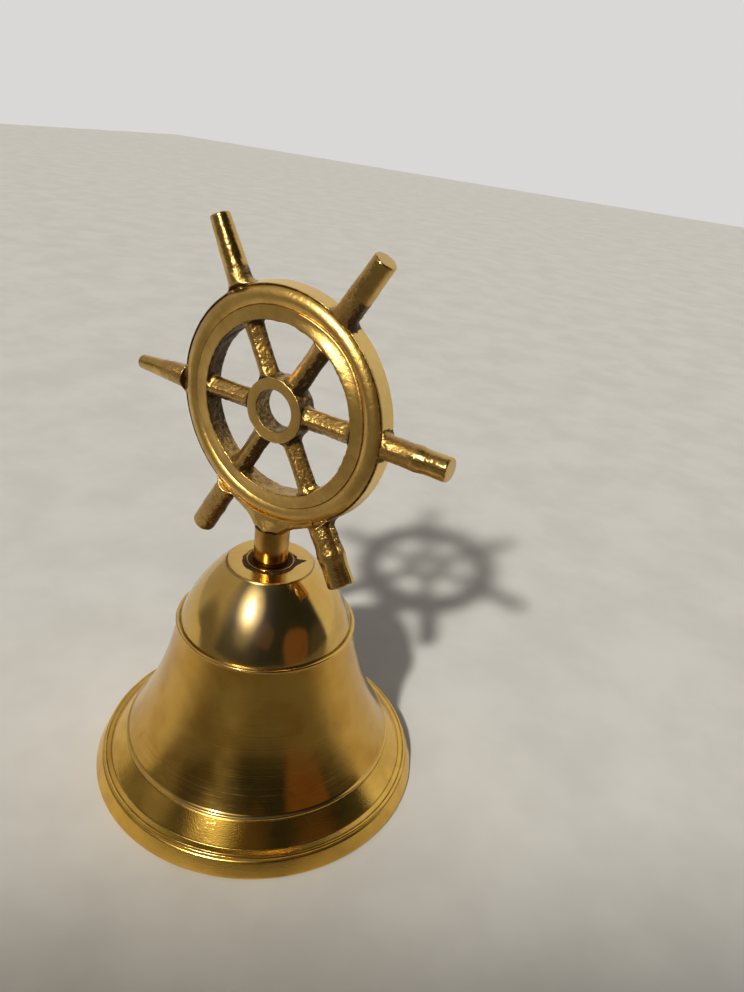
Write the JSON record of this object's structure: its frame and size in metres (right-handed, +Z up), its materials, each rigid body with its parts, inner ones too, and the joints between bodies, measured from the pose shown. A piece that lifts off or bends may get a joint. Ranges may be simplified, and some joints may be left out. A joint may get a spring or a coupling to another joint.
{
  "type": "hand bell",
  "caption": "Brass table hand bell with a flared body, raised rings, a ship's-wheel handle on a round stem and a ball clapper hung inside on linked rings.",
  "frame": {"origin": "centre of the mouth plane, on the surface that the bell stands on", "axes": "+Z up along the bell's axis; +Y along the wheel's axis, away from its moulded face; +X to the right when the moulded face is seen from the front"},
  "size_m": [0.0768, 0.076, 0.1243],
  "materials": {
    "polished_brass": "turned and polished, mirror-bright on the dome and finely brushed round the skirt",
    "cast_brass": "sand-cast and tumbled, with dark grime in the recesses",
    "stem_brass": "polished round bar",
    "collar_brass": "bright thin turned ring",
    "packing_black": "matt black with dried polish",
    "fastener_steel": "zinc-plated, slightly dulled",
    "clapper_brass": "turned, lightly tarnished"
  },
  "bodies": {
    "root": {"bell_shell": "polished_brass", "packing_ring": "packing_black", "stem_collar": "collar_brass", "handle_stem": "stem_brass", "stem_boss": "cast_brass", "wheel_rim": "cast_brass", "wheel_hub": "cast_brass", "spoke_1": "cast_brass", "spoke_2": "cast_brass", "spoke_3": "cast_brass", "spoke_4": "cast_brass", "spoke_5": "cast_brass", "spoke_6": "cast_brass", "grip_1": "cast_brass", "grip_2": "cast_brass", "grip_3": "cast_brass", "grip_4": "cast_brass", "grip_5": "cast_brass", "grip_6": "cast_brass", "inner_washer": "fastener_steel", "lock_nut": "fastener_steel", "eye_bolt": "fastener_steel"},
    "link": {"clapper_link": "fastener_steel"},
    "clapper": {"clapper_rod": "clapper_brass", "clapper_ball": "clapper_brass"}
  },
  "joints": [
    {"name": "clapper_sway", "type": "hinge", "parent": "root", "child": "link", "pos_m": [0, 0, 0.0392], "axis": [1, 0, 0], "range_deg": [-12, 12]},
    {"name": "clapper_swing", "type": "hinge", "parent": "link", "child": "clapper", "pos_m": [0, 0, 0.03435], "axis": [0, 1, 0], "range_deg": [-45, 45]}
  ]
}
